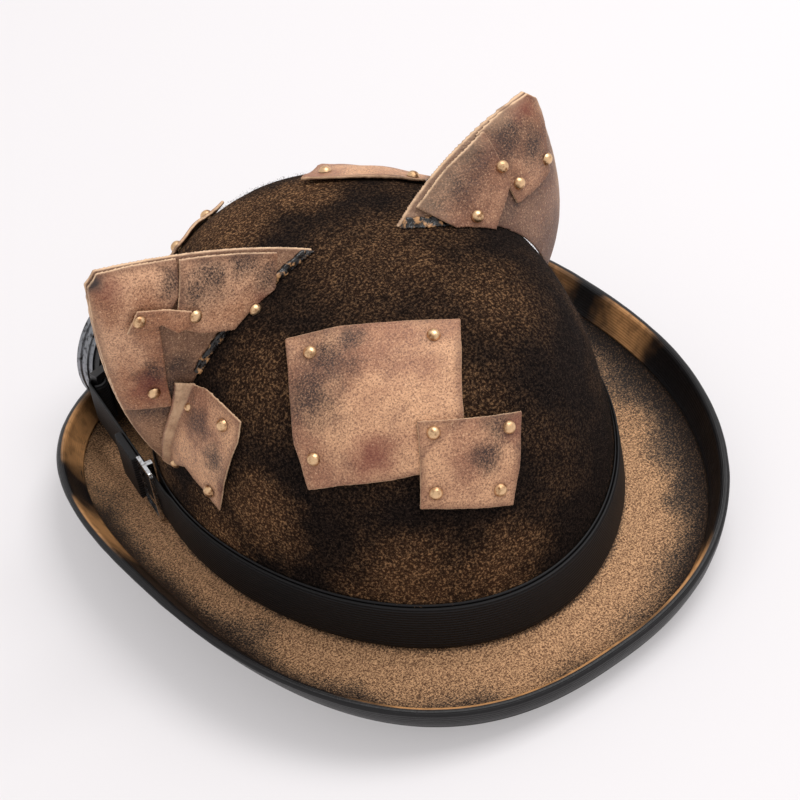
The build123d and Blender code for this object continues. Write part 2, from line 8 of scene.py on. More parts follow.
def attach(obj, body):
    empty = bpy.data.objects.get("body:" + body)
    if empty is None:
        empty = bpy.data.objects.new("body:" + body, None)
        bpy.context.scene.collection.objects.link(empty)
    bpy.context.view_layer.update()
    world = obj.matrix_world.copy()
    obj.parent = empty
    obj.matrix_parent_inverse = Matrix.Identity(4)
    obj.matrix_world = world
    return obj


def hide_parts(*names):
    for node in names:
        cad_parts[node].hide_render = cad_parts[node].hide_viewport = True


# Looks of a costume bowler hat: airbrushed felt, bound brim, leather ears and patches with rivets, goggles.
# Metres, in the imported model's frame: +Z up, the hat's front towards -Y, the wearer's left towards +X.

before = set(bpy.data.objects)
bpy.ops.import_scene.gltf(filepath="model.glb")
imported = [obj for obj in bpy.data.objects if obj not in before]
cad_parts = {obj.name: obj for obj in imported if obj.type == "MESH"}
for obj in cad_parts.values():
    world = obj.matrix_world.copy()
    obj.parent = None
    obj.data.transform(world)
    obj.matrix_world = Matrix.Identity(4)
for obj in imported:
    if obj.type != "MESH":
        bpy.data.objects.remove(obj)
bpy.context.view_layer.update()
scene = bpy.context.scene

MM = 0.001

# Crown and brim, as in the CAD source.
HALF_WIDTH = 85.4 * MM
HALF_DEPTH = 103 * MM
CROWN_BASE = 13.7 * MM
CROWN_RISE = 115.2 * MM
CROWN_FULLNESS = 0.788
BASE_SADDLE = 6.5 * MM
FELT = 2.5 * MM
RIM_HALF_WIDTH = 116.1 * MM
RIM_HALF_DEPTH = 140.7 * MM
RIM_POWER = 2.44
RIM_HEIGHT = 24.4 * MM
RIM_SADDLE = 10.1 * MM
BRIM_DIP = 7.35 * MM
BRIM_FLAT = 0.42
SIDE_LIFT = 4 * MM
SIDE_FLARE = 0.27

# The faint line pressed into the brim near the band: its place and width, as shares of the way across.
PRESSED_LINE = 0.16
PRESSED_LINE_WIDTH = 0.018

# Strap and goggles, as in the CAD source.
STRAP_HEIGHT = 21 * MM
STRAP_THICK = 1.3 * MM
STRAP_LOW = 20.4 * MM
RUN_START = Vector((84.78, -21.77)) * MM
RUN_END = Vector((70.21, -104.32)) * MM
BAR_MIDDLE = Vector((67.04, -103.62)) * MM
LOOP_RADIUS = 3.25 * MM

# Where the strap's straight run starts, as a share of it, and how far round the bar its loop goes, in radians.
RUN_FIRST_STEP = 0.06
LOOP_SWING = (0.25, 5.4)

# Bands round the crown: how far each starts off the felt, its thickness and height, and how far up it starts.
RIBBON_NEAR = 0.1 * MM
RIBBON_THICK = 0.7 * MM
RIBBON_HEIGHT = 22.1 * MM
RIBBON_RISE = 0.4 * MM
STRAP_NEAR = 0.9 * MM
STRAP_RISE = 0.6 * MM
SWEATBAND_NEAR = -FELT - 1.2 * MM
SWEATBAND_THICK = 1.1 * MM
SWEATBAND_HEIGHT = 35 * MM
SWEATBAND_RISE = 0.6 * MM - FELT

# Binding: where across the brim it starts, how far its face and back are off the felt, and its flat width.
BINDING_START = 0.76
BINDING_FACE = 0.95 * MM
BINDING_BACK = 0.25 * MM
BINDING_WIDTH = 24 * MM
BINDING_STEPS = 14
BINDING_CAP_STEPS = 7

# Fibres of the crown's nap.
FIBRE_COUNT = 60000
FIBRE_HALF_WIDTH = 0.04 * MM
FIBRE_SEED = 7

# The photograph's viewing angle, and the studio.
CAMERA_PLACE = Vector((394.8, 704.2, 743.9)) * MM
CAMERA_AZIMUTH = radians(60)
CAMERA_ELEVATION = radians(40.75)
CAMERA_ROLL = radians(-10.92)
CAMERA_LENS = 122.53
CAMERA_SENSOR = 36
HAT_MIDDLE = Vector((0, 0, 60)) * MM
KEY_PLACE = (-0.6, 0.2, 1.5)
KEY_SIZE = 1.0
KEY_POWER = 17
SURROUNDINGS = (1, 0.985, 0.99, 1)
SURROUNDINGS_STRENGTH = 0.8
FLOOR_HALF = 4
FLOOR_GLOW = (1, 0.975, 0.985, 1)
FLOOR_GLOW_STRENGTH = 0.33

# Airbrushed areas of the felt and the binding, each a middle and a radius in millimetres.
CROWN_BRONZE = [
    ((19, -52, 121), 36), ((50, 86, 38), 34), ((20, 99, 40), 26), ((78, 36, 66), 26),
    ((80, 10, 40), 28), ((-12, -45, 125), 26), ((0, -100, 60), 36), ((-80, -10, 60), 34),
    ((-50, -60, 90), 30), ((80, -40, 60), 28),
]
CROWN_DUST = [((-5, 15, 129), 46), ((55, 25, 112), 30), ((12, 80, 105), 30), ((-28, 55, 118), 30)]
CROWN_BARE = [((64, 66, 60), 13), ((-27, -12, 127), 10), ((66, 8, 104), 9)]
BRIM_BRONZE = [
    ((80, -88, 10), 40), ((60, 84, 8), 24), ((28, 108, 5), 32), ((-5, 116, 6), 28), ((-30, 110, 6), 20),
    ((0, -125, 5), 44), ((-70, -90, 10), 34),
]
BRIM_BARE = [
    ((-98, 30, 20), 44), ((-96, 72, 14), 34), ((-78, 96, 10), 22), ((104, 40, 22), 30), ((88, 88, 18), 22),
]
BINDING_GOLD = [
    ((-100, -30, 34), 22), ((-90, -90, 26), 22), ((82, -105, 20), 32), ((108, -40, 32), 26),
    ((66, 118, 20), 34), ((10, 140, 14), 40), ((-40, 134, 16), 30), ((40, 132, 16), 30), ((-112, 20, 32), 22),
]

# Leather pieces: how far each lifts off and curls at its edges, in millimetres, and its airbrushed areas.
CROWN_PATCHES = {
    "large_crown_patch": dict(
        lift=0.5, curl=1.0, dark=[((50, 44, 114), 20), ((38, 42, 121), 16), ((28, 42, 125), 9)],
        red=[((46, 72, 98), 12)],
    ),
    "small_crown_patch": dict(
        lift=0.4, curl=0.8, dark=[((2, 92, 97), 12), ((-4, 96, 84), 9), ((12, 95, 90), 10)],
        red=[((-4, 94, 93), 10), ((-3, 99, 78), 10)],
    ),
    "top_crown_patch": dict(
        lift=0.6, curl=1.2, dark=[((-40, -20, 124), 12), ((-50, -45, 105), 14)], red=[((-20, -45, 122), 7)],
    ),
    "front_crown_patch": dict(lift=0.5, curl=0.9, dark=[((20, -95, 80), 9)], red=[((30, -90, 90), 5)]),
    "left_ear_base_patch": dict(
        lift=0.35, curl=0.7,
        dark=[((79, 3, 92), 11), ((79, -2, 102), 9), ((80, 14, 82), 9), ((77, 22, 72), 12)],
        red=[((80, 20, 70), 6)],
    ),
}
BRIGHT = dict(light="dba985", mid="aa7555")
EAR_SHEETS = {
    "left_ear_shell": dict(
        curl=0, light="a98062", mid="7f5d48", dark=[((84, -12, 100), 20), ((74, -8, 112), 9)],
    ),
    "left_ear_tip_patch": dict(
        curl=0.7, dark=[((66, -8, 146), 11), ((84, -8, 112), 10)],
        red=[((86, -10, 106), 11), ((90, -14, 154), 9)], grey=[((95, -15, 160), 7)], **BRIGHT,
    ),
    "left_ear_square_patch": dict(
        curl=0.9, dark=[((52, -4, 143), 15), ((38, -3, 142), 13), ((62, -4, 140), 11), ((32, -2, 132), 10)],
        red=[((38, 0, 124), 6)], **BRIGHT,
    ),
    "left_ear_strip_patch": dict(curl=0.4, dark=[((80, -10, 137), 6)], red=[((66, -8, 133), 4)], **BRIGHT),
    # The right ear's leather is coloured darker than the left ear's: painted shade over the whole right ear.
    "right_ear_shell": dict(
        curl=0, light="8d6a55", mid="6a4b3c",
        dark=[((-85, 8, 125), 12), ((-62, 8, 116), 16), ((-78, 6, 100), 9)],
        red=[((-88, 0, 148), 6)],
    ),
    "right_ear_lower_patch": dict(
        curl=0.8, light="b98a6b", mid="8a5d45",
        dark=[((-45, 6, 139), 22), ((-34, 6, 130), 17), ((-58, 6, 142), 15)],
        red=[((-52, 20, 114), 7)],
    ),
    "right_ear_tip_patch": dict(
        curl=0.8, light="b98a6b", mid="84583f",
        dark=[((-76, 6, 140), 17), ((-84, 6, 130), 13), ((-70, 6, 146), 10)],
        red=[((-88, 0, 146), 10)],
    ),
}
SHEET_VOXEL = 0.42 * MM

# Where each sheet's ripples are taken from the noise, so that no two sheets ripple alike.
CROWN_PATCH_SHIFT = 11.3
EAR_SHEET_START = 80
EAR_SHEET_SHIFT = 7.9
BRIDGE_START = 5.5


# ---------------------------------------------------------------- camera, light and floor

def look_from(place, azimuth, elevation, roll, lens):
    """Makes the camera, at a place and looking back along an azimuth and elevation, turned by a roll."""
    back = Vector((cos(azimuth) * cos(elevation), sin(azimuth) * cos(elevation), sin(elevation)))
    level = Vector((-sin(azimuth), cos(azimuth), 0))
    upright = back.cross(level)
    right = cos(roll) * level + sin(roll) * upright
    top = cos(roll) * upright - sin(roll) * level
    data = bpy.data.cameras.new("camera")
    data.lens = lens
    data.sensor_width = CAMERA_SENSOR
    camera = bpy.data.objects.new("camera", data)
    scene.collection.objects.link(camera)
    camera.matrix_world = Matrix.Translation(place) @ Matrix((right, top, back)).transposed().to_4x4()
    scene.camera = camera


def soft_light(name, place, size, power):
    """A square area light aimed at the hat."""
    data = bpy.data.lights.new(name, "AREA")
    data.shape = "SQUARE"
    data.size = size
    data.energy = power
    light = bpy.data.objects.new(name, data)
    light.location = place
    light.rotation_euler = (Vector(place) - HAT_MIDDLE).to_track_quat("Z", "Y").to_euler()
    scene.collection.objects.link(light)


def studio():
    """Even white surroundings, one big light overhead and to the right of the view, and a pale floor."""
    world = bpy.data.worlds.new("surroundings")
    world.use_nodes = True
    background = world.node_tree.nodes["Background"]
    background.inputs["Color"].default_value = SURROUNDINGS
    background.inputs["Strength"].default_value = SURROUNDINGS_STRENGTH
    scene.world = world
    scene.view_settings.view_transform = "Standard"
    soft_light("key", KEY_PLACE, KEY_SIZE, KEY_POWER)
    corners = [(x * FLOOR_HALF, y * FLOOR_HALF, 0) for x, y in ((-1, -1), (1, -1), (1, 1), (-1, 1))]
    floor_mesh = bpy.data.meshes.new("floor")
    floor_mesh.from_pydata(corners, [], [(0, 1, 2, 3)])
    floor = bpy.data.objects.new("floor", floor_mesh)
    scene.collection.objects.link(floor)
    glow = dict(emission_color=FLOOR_GLOW, emission_strength=FLOOR_GLOW_STRENGTH)
    paper = Finish("pale_paper", roughness=0.9, **glow)
    paper.colour(paper.mix(paper.noise(0.4, detail=1), shade("b8b5b6"), shade("bbb8b9")))
    floor_mesh.materials.append(paper.material)


# ---------------------------------------------------------------- materials

def shade(text):
    """A colour for a shader from its usual six-digit code."""
    levels = [int(text[i:i + 2], 16) / 255 for i in (0, 2, 4)]
    return tuple(v / 12.92 if v <= 0.04045 else ((v + 0.055) / 1.055) ** 2.4 for v in levels) + (1.0,)


class Finish:
    """A material being made: its Principled shader, and short calls for the nodes that the finishes share."""

    def __init__(self, name, **shader):
        self.material = bpy.data.materials.new(name)
        self.material.use_nodes = True
        self.tree = self.material.node_tree
        self.shader = self.tree.nodes["Principled BSDF"]
        for socket, value in shader.items():
            self.shader.inputs[socket.replace("_", " ").title().replace("Ior", "IOR")].default_value = value
        self.place = self.node("ShaderNodeTexCoord").outputs["Object"]

    def node(self, kind, inputs=(), **settings):
        """A node with its settings, and its inputs linked to sockets or set to values."""
        made = self.tree.nodes.new(kind)
        for name, value in settings.items():
            setattr(made, name, value)
        for key, value in dict(inputs).items():
            if isinstance(value, bpy.types.NodeSocket):
                self.tree.links.new(value, made.inputs[key])
            else:
                made.inputs[key].default_value = value
        return made

    def noise(self, size, detail=3.0, roughness=0.55, place=None, distortion=0.0):
        """Noise from 0 to 1 whose lumps are of about a size."""
        inputs = {"Vector": place or self.place, "Scale": 1 / size, "Detail": detail, "Roughness": roughness}
        inputs["Distortion"] = distortion
        return self.node("ShaderNodeTexNoise", inputs).outputs["Fac"]

    def cells(self, size):
        """Distance to the nearest of scattered points about a size apart."""
        scattered = self.node("ShaderNodeTexVoronoi", {"Vector": self.place, "Scale": 1 / size})
        return scattered.outputs["Distance"]

    def stretched(self, scales):
        """The place on the piece, scaled along each axis."""
        return self.node("ShaderNodeMapping", {"Vector": self.place, "Scale": scales}).outputs["Vector"]

    def carried(self, name):
        """A number that the mesh carries at each vertex."""
        return self.node("ShaderNodeAttribute", attribute_name=name).outputs["Fac"]

    def maths(self, operation, a, b=0.0):
        return self.node("ShaderNodeMath", {0: a, 1: b}, operation=operation).outputs[0]

    def between(self, value, low, high, start=0.0, end=1.0):
        """The value eased from start to end as it goes from low to high."""
        inputs = {"Value": value, "From Min": low, "From Max": high, "To Min": start, "To Max": end}
        return self.node("ShaderNodeMapRange", inputs, interpolation_type="SMOOTHSTEP").outputs["Result"]

    def mix(self, share, a, b):
        return self.node("ShaderNodeMix", {0: share, 6: a, 7: b}, data_type="RGBA").outputs[2]

    def spray(self, middle, radius):
        """An airbrushed spot, placed in millimetres: 1 in its middle, fading to 0 with a ragged edge."""
        point = [v * MM for v in middle]
        reach = radius * MM
        gap = self.node("ShaderNodeVectorMath", {0: self.place, 1: point}, operation="DISTANCE")
        ragged = self.maths("MULTIPLY", self.noise(reach * 0.5, detail=2), reach * 0.9)
        away = self.maths("ADD", gap.outputs["Value"], ragged)
        return self.between(away, reach * 0.55, reach * 1.5, 1, 0)

    def sprays(self, spots):
        """Several airbrushed spots as one mask."""
        mask = self.spray(*spots[0])
        for spot in spots[1:]:
            mask = self.maths("MAXIMUM", mask, self.spray(*spot))
        return mask

    def colour(self, socket):
        self.tree.links.new(socket, self.shader.inputs["Base Color"])

    def roughness(self, socket):
        self.tree.links.new(socket, self.shader.inputs["Roughness"])

    def bump(self, *heights):
        """Bumps from (height, depth in metres) pairs, coarse to fine."""
        normal = None
        for height, depth in heights:
            inputs = {"Height": height, "Distance": depth}
            if normal:
                inputs["Normal"] = normal
            normal = self.node("ShaderNodeBump", inputs).outputs["Normal"]
        self.tree.links.new(normal, self.shader.inputs["Normal"])


def crown_felt_finish(name, deep, high, pale):
    """Fuzzy black-brown felt, airbrushed bronze in places, thinly dusted between them and bare in spots."""
    felt = Finish(name, roughness=0.95, specular_ior_level=0.06)
    grain = felt.noise(1.0 * MM, detail=5, roughness=0.75)
    clumps = felt.noise(4.5 * MM, detail=3, roughness=0.6)
    clouds = felt.noise(30 * MM, detail=2)
    bronze = felt.sprays(CROWN_BRONZE)
    dusted = felt.sprays(CROWN_DUST)
    bare = felt.sprays(CROWN_BARE)
    amount = felt.maths("MAXIMUM", bronze, felt.maths("MULTIPLY", dusted, 0.42))
    amount = felt.maths("ADD", amount, felt.between(clouds, 0.45, 0.75, 0.0, 0.18))
    amount = felt.maths("MULTIPLY", amount, felt.between(clumps, 0.32, 0.6, 0.65, 1.1))
    amount = felt.maths("MULTIPLY", amount, felt.between(bare, 0.0, 1.0, 1.0, 0.25))
    speckle = felt.between(grain, 0.47, 0.6)
    base = felt.mix(felt.between(grain, 0.4, 0.62), shade(deep), shade(high))
    coat = felt.mix(felt.between(grain, 0.5, 0.66), shade("7d5a40"), shade(pale))
    painted = felt.mix(felt.maths("MULTIPLY", amount, speckle), base, coat)
    felt.colour(felt.mix(felt.maths("MULTIPLY", amount, 0.4), painted, shade("5f412c")))
    felt.bump((clumps, 0.9 * MM), (grain, 1.1 * MM))
    return felt.material


def brim_felt_finish():
    """Smoother pressed felt under a metallic bronze coat, brightest near the band but for a painted shade line
    at its foot, bare up the curl.
    """
    felt = Finish("brim_felt", specular_ior_level=0.3)
    grain = felt.noise(0.7 * MM, detail=4, roughness=0.8)
    patches = felt.noise(30 * MM, detail=3, roughness=0.5)
    reach = felt.carried("reach")
    wander = felt.between(patches, 0.3, 0.7, -0.06, 0.06)
    inner = felt.between(felt.maths("ADD", reach, wander), 0.2, 0.7, 1, 0)
    wide = felt.sprays(BRIM_BRONZE)
    bare = felt.sprays(BRIM_BARE)
    coated = felt.maths("MAXIMUM", inner, felt.maths("MULTIPLY", wide, 0.9))
    coated = felt.maths("MULTIPLY", coated, felt.between(bare, 0, 1, 1, 0.3))
    # Painted shade: the coat thins to a dark line along the brim's foot, where it meets the band.
    coated = felt.maths("MULTIPLY", coated, felt.between(felt.carried("band_foot_shade"), 0.2, 1, 1, 0.45))
    coated = felt.maths("MULTIPLY", coated, felt.between(felt.carried("under"), 0, 1, 1, 0.0))
    thin = felt.between(felt.maths("ADD", coated, felt.between(grain, 0.3, 0.7, -0.34, 0.34)), 0.0, 1.0)
    coat = felt.mix(felt.between(grain, 0.4, 0.62), shade("6f4c34"), shade("dcae82"))
    black = felt.mix(felt.between(grain, 0.4, 0.65), shade("0a0605"), shade("2c1d17"))
    felt.colour(felt.mix(thin, black, coat))
    felt.tree.links.new(felt.between(thin, 0.2, 0.8, 0.0, 0.45), felt.shader.inputs["Metallic"])
    felt.roughness(felt.between(grain, 0.3, 0.7, 0.4, 0.62))
    felt.bump((patches, 0.4 * MM), (grain, 0.32 * MM))
    return felt.material


def leather_finish(name, dark, red=(), light="d9a67f", mid="a8765a", grey=()):
    """Tan leather with a speckled bronze coat, airbrushed dark and red areas, and a raw, lighter cut edge."""
    skin = Finish(name, roughness=0.6, specular_ior_level=0.35)
    speckle = skin.noise(0.7 * MM, detail=4, roughness=0.85)
    mottle = skin.noise(22 * MM, detail=3, roughness=0.5)
    smears = skin.noise(1, detail=4, place=skin.stretched((40, 150, 110)), distortion=0.6)
    coat = skin.mix(skin.between(mottle, 0.35, 0.65), shade(mid), shade(light))
    coat = skin.mix(skin.between(smears, 0.5, 0.75, 0.0, 0.5), coat, shade("7d5443"))
    coat = skin.mix(skin.between(speckle, 0.38, 0.54, 0.75, 0.0), coat, shade("55362a"))
    coat = skin.mix(skin.between(speckle, 0.57, 0.66, 0.0, 0.6), coat, shade("f3cda6"))
    grit = skin.between(speckle, 0.38, 0.64, 1.0, 0.45)
    coat = skin.mix(skin.maths("MULTIPLY", skin.sprays(dark), grit), coat, shade("241a1a"))
    if red:
        coat = skin.mix(skin.maths("MULTIPLY", skin.sprays(red), 0.5), coat, shade("6a1c1a"))
    if grey:
        coat = skin.mix(skin.sprays(grey), coat, shade("3c3837"))
    rim = skin.maths("MULTIPLY", skin.carried("rim"), skin.between(mottle, 0.35, 0.6, 0.15, 0.6))
    coat = skin.mix(rim, coat, shade("5a3a2c"))
    edge = skin.maths("MULTIPLY", skin.carried("cut"), skin.between(skin.noise(6 * MM), 0.3, 0.6, 0.4, 0.95))
    skin.colour(skin.mix(edge, coat, shade("e2bd98")))
    skin.roughness(skin.between(speckle, 0.3, 0.7, 0.45, 0.7))
    pores = skin.cells(1.1 * MM)
    folds = skin.noise(1, detail=3, place=skin.stretched((90, 160, 130)), distortion=1.2)
    creases = skin.between(folds, 0.46, 0.54)
    skin.bump((mottle, 0.5 * MM), (creases, 0.12 * MM), (pores, 0.16 * MM), (speckle, 0.14 * MM))
    return skin.material


def ribbon_finish(name, coordinate, rib, depth, gloss, gold=()):
    """Black ribbon or elastic with fine lengthwise ribs, painted darker in their grooves as shade, and gold
    where the spray reached its inside.
    """
    cloth = Finish(name, roughness=gloss, specular_ior_level=0.3)
    across = cloth.maths("MULTIPLY", cloth.carried(coordinate), tau / rib)
    ribs = cloth.maths("SINE", across)
    weft = cloth.noise(0.35 * MM, detail=2)
    dust = cloth.noise(5 * MM, detail=4)
    # Painted shade and highlight: darker in the grooves between the ribs, lighter on their crests.
    base = cloth.mix(cloth.between(ribs, -1, 1), shade("050405"), shade("121012"))
    base = cloth.mix(cloth.between(weft, 0.55, 0.75, 0, 0.4), base, shade("201d1e"))
    if gold:
        spots = cloth.maths("MULTIPLY", cloth.sprays(gold), cloth.carried("inside"))
        spots = cloth.maths("MULTIPLY", spots, cloth.between(dust, 0.3, 0.55, 0.6, 1.0))
        base = cloth.mix(spots, base, shade("c08c5a"))
    cloth.colour(base)
    cloth.bump((dust, 0.25 * MM), (ribs, depth), (weft, 0.06 * MM))
    return cloth.material


def metal_finish(name, colour, worn, roughness, grain_size):
    """Bare metal with fine scratches and duller worn or grimy areas."""
    metal = Finish(name, metallic=1.0)
    fine = 1 / grain_size
    scratches = metal.noise(1, detail=3, place=metal.stretched((fine, fine, 4 * fine)))
    grime = metal.noise(2.4 * MM, detail=4)
    metal.colour(metal.mix(metal.between(grime, 0.45, 0.7), shade(colour), shade(worn)))
    metal.roughness(metal.between(scratches, 0.3, 0.7, roughness - 0.08, roughness + 0.14))
    metal.bump((grime, 0.08 * MM), (scratches, 0.03 * MM))
    return metal.material


def moulded_finish(name, colour, roughness):
    """Moulded plastic or foam skin with a fine even texture."""
    plastic = Finish(name, specular_ior_level=0.5)
    texture = plastic.noise(0.5 * MM, detail=2)
    dust = plastic.noise(9 * MM, detail=4)
    plastic.colour(plastic.mix(plastic.between(dust, 0.5, 0.8, 0, 0.5), shade(colour), shade("37302b")))
    plastic.roughness(plastic.between(dust, 0.3, 0.7, roughness, roughness + 0.18))
    plastic.bump((texture, 0.06 * MM))
    return plastic.material


def lens_finish():
    """Smoked glass with a faint film of dust."""
    glass = Finish("smoked_lens", ior=1.5, coat_weight=0.6, coat_roughness=0.05)
    film = glass.noise(12 * MM, detail=5)
    glass.colour(glass.mix(glass.between(film, 0.4, 0.8), shade("0c0b0d"), shade("2a221e")))
    glass.roughness(glass.between(film, 0.4, 0.8, 0.06, 0.3))
    return glass.material


def glue_finish():
    """Glossy black glue with gold spray on its raised strings."""
    glue = Finish("hot_glue", specular_ior_level=0.6)
    blobs = glue.noise(3 * MM, detail=4)
    glue.colour(glue.mix(glue.between(blobs, 0.5, 0.62), shade("100c0b"), shade("b9895a")))
    glue.roughness(glue.between(blobs, 0.4, 0.6, 0.14, 0.45))
    glue.bump((blobs, 1.2 * MM))
    return glue.material


# ---------------------------------------------------------------- mesh helpers

def places_of(mesh):
    flat = np.empty(len(mesh.vertices) * 3, np.float32)
    mesh.vertices.foreach_get("co", flat)
    return flat.reshape(-1, 3).astype(float)


def normals_of(mesh):
    flat = np.empty(len(mesh.vertices) * 3, np.float32)
    mesh.vertex_normals.foreach_get("vector", flat)
    return flat.reshape(-1, 3).astype(float)


def move_to(mesh, places):
    mesh.vertices.foreach_set("co", places.astype(np.float32).ravel())
    mesh.update()


def carry(mesh, name, values):
    """Stores a number at each vertex, for a material to read."""
    mesh.attributes.new(name, "FLOAT", "POINT").data.foreach_set("value", values.astype(np.float32))


def lumps(places, size, shift=0.0):
    """Smooth noise from -1 to 1 at each place, with lumps of about a size."""
    start = Vector((shift, shift, shift))
    return np.array([noise.noise(Vector(place) / size + start) for place in places])


def length_of(vectors):
    return np.linalg.norm(vectors, axis=1, keepdims=True)


def crown_out(places):
    """Unit vectors straight out of the crown, at places on or near it."""
    slope = places - np.array((0, 0, CROWN_BASE))
    slope = slope / np.array((HALF_WIDTH, HALF_DEPTH, CROWN_RISE)) ** 2
    slope[:, 2] = np.maximum(slope[:, 2], 0)
    return slope / length_of(slope)


def new_piece(name, mesh, material, body, slot, *nodes):
    """An object that rides on a body and stands for CAD nodes, in the finish it is given; its slot is not
    used.
    """
    mesh.materials.clear()
    mesh.materials.append(material)
    mesh.shade_smooth()
    piece = bpy.data.objects.new(name, mesh)
    scene.collection.objects.link(piece)
    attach(piece, body)
    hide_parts(*nodes)
    return piece


def even_mesh(node, voxel, rounds=3):
    """A copy of a CAD node's mesh with even small faces and softened edges."""
    holder = bpy.data.objects.new("holder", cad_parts[node].data.copy())
    scene.collection.objects.link(holder)
    remesh = holder.modifiers.new("even", "REMESH")
    remesh.mode = "VOXEL"
    remesh.voxel_size = voxel
    soften = holder.modifiers.new("soften", "SMOOTH")
    soften.iterations = rounds
    bpy.context.view_layer.update()
    mesh = bpy.data.meshes.new_from_object(holder.evaluated_get(bpy.context.evaluated_depsgraph_get()))
    bpy.data.objects.remove(holder)
    return mesh


def ring_mesh(name, rows, closed=True):
    """A mesh through rows of points, each row a closed section, joined end to end if closed."""
    count, around = rows.shape[:2]
    faces = []
    for i in range(count if closed else count - 1):
        following = (i + 1) % count
        for j in range(around):
            side = (j + 1) % around
            here = i * around
            there = following * around
            faces.append((here + j, there + j, there + side, here + side))
    if not closed:
        faces.append(tuple(range(around)))
        faces.append(tuple((count - 1) * around + j for j in reversed(range(around))))
    mesh = bpy.data.meshes.new(name)
    mesh.from_pydata(rows.reshape(-1, 3).tolist(), [], faces)
    mesh.update()
    return mesh


# ---------------------------------------------------------------- felt

def bezier(points, shares):
    """Points of a cubic Bezier curve, whose control points may each be arrays, at shares of its length."""
    weights = ((1 - shares) ** 3, 3 * (1 - shares) ** 2 * shares, 3 * (1 - shares) * shares**2, shares**3)
    across = sum(weight * point[0] for weight, point in zip(weights, points))
    height = sum(weight * point[1] for weight, point in zip(weights, points))
    return across, height


def signed_power(values, power):
    return np.sign(values) * np.abs(values) ** power


def brim_rows(turns, shares, lift, top):
    """Points on the brim's upper or under face, moved off it by a lift: one row for each turn."""
    turns = turns[:, None]
    root_x = HALF_WIDTH * np.cos(turns)
    root_y = HALF_DEPTH * np.sin(turns)
    out_x = RIM_HALF_WIDTH * signed_power(np.cos(turns), 2 / RIM_POWER) - root_x
    out_y = RIM_HALF_DEPTH * signed_power(np.sin(turns), 2 / RIM_POWER) - root_y
    reach = np.hypot(out_x, out_y)
    root_z = CROWN_BASE + BASE_SADDLE * np.cos(2 * turns)
    rim_z = RIM_HEIGHT + RIM_SADDLE * np.cos(2 * turns)
    sideways = np.cos(turns) ** 4
    dip = BRIM_DIP - SIDE_LIFT * sideways
    flare = 0.97 - SIDE_FLARE * sideways
    if top:
        start = root_z + lift
        low = root_z - dip + lift
        edge = reach - FELT - lift
        swell = flare * edge
    else:
        start = root_z - FELT - lift
        low = root_z - FELT - dip - lift
        edge = reach + lift
        swell = flare * reach + lift
    points = [(0, start), (BRIM_FLAT * reach, low), (swell, low), (edge, rim_z)]
    across, height = bezier(points, shares)
    x = root_x + out_x * across / reach
    y = root_y + out_y * across / reach
    return np.stack([x, y, height + 0 * x], axis=2)


def brim():
    """The felt brim, with a faint pressed line near the band."""
    turns = np.linspace(0, tau, 480, endpoint=False)
    top_shares = np.linspace(0.0, 1, 56)
    under_shares = np.linspace(1, 0.0, 30)
    top = brim_rows(turns, top_shares, 0, True)
    below = brim_rows(turns, under_shares, 0, False)
    mesh = ring_mesh("brim_felt_soft", np.concatenate([top, below], axis=1))
    shares = np.tile(np.concatenate([top_shares, under_shares]), len(turns))
    under = np.tile(np.concatenate([0 * top_shares, 0 * under_shares + 1]), len(turns))
    line = np.exp(-(((shares - PRESSED_LINE) / PRESSED_LINE_WIDTH) ** 2)) * (1 - under)
    places = places_of(mesh)
    wave = lumps(places, 26 * MM) * 0.5 * MM * np.clip(shares * (1 - shares) * 4, 0, 1)
    places[:, 2] += wave + line * 0.35 * MM
    move_to(mesh, places)
    carry(mesh, "reach", shares)
    carry(mesh, "under", under)
    carry(mesh, "band_foot_shade", np.exp(-((shares / 0.07) ** 2)) * (1 - under))
    new_piece("brim_felt_soft", mesh, brim_felt_finish(), "hat", "brim_felt", "brim_felt")


def binding():
    """Satin ribbon folded over the brim's edge, with a slightly wavy hem on both faces."""
    turns = np.linspace(0, tau, 720, endpoint=False)
    shares = np.linspace(BINDING_START, 1, BINDING_STEPS)
    outer = brim_rows(turns, shares, BINDING_FACE, False)
    inner = brim_rows(turns, shares, BINDING_FACE, True)[:, ::-1]
    inner_back = brim_rows(turns, shares[:3], BINDING_BACK, True)
    outer_back = brim_rows(turns, shares[:3], BINDING_BACK, False)[:, ::-1]
    swing = np.linspace(0.12, 0.88, BINDING_CAP_STEPS)[None, :, None]
    cap = outer[:, -1:] + (inner[:, :1] - outer[:, -1:]) * swing
    cap[:, :, 2] += (0.5 * MM + BINDING_FACE) * np.sin(swing[:, :, 0] * pi) ** 0.6
    rows = np.concatenate([outer, cap, inner, inner_back, outer_back], axis=1)
    mesh = ring_mesh("brim_binding_ribbon", rows)

    column = np.arange(rows.shape[1])
    cap_middle = BINDING_STEPS + BINDING_CAP_STEPS // 2
    last = 2 * BINDING_STEPS + BINDING_CAP_STEPS
    hem = np.tile(np.isin(column, (0, 1, last - 1, last)).astype(float), len(turns))
    inside = np.tile(((column > cap_middle) & (column < last)).astype(float), len(turns))
    places = places_of(mesh)
    ripple = lumps(places, 7 * MM, 3.0) * 0.1 * MM + lumps(places, 30 * MM, 7.0) * 0.15 * MM - 0.22 * MM
    move_to(mesh, places + normals_of(mesh) * (ripple * (1 - hem) + hem * 0.1 * MM)[:, None])
    carry(mesh, "across", np.tile(np.linspace(0, BINDING_WIDTH, len(column)), len(turns)))
    carry(mesh, "inside", inside)
    finish = ribbon_finish("binding_satin", "across", 0.8 * MM, 0.03 * MM, 0.4, BINDING_GOLD)
    new_piece("brim_binding_ribbon", mesh, finish, "hat", "binding_ribbon", "brim_binding")


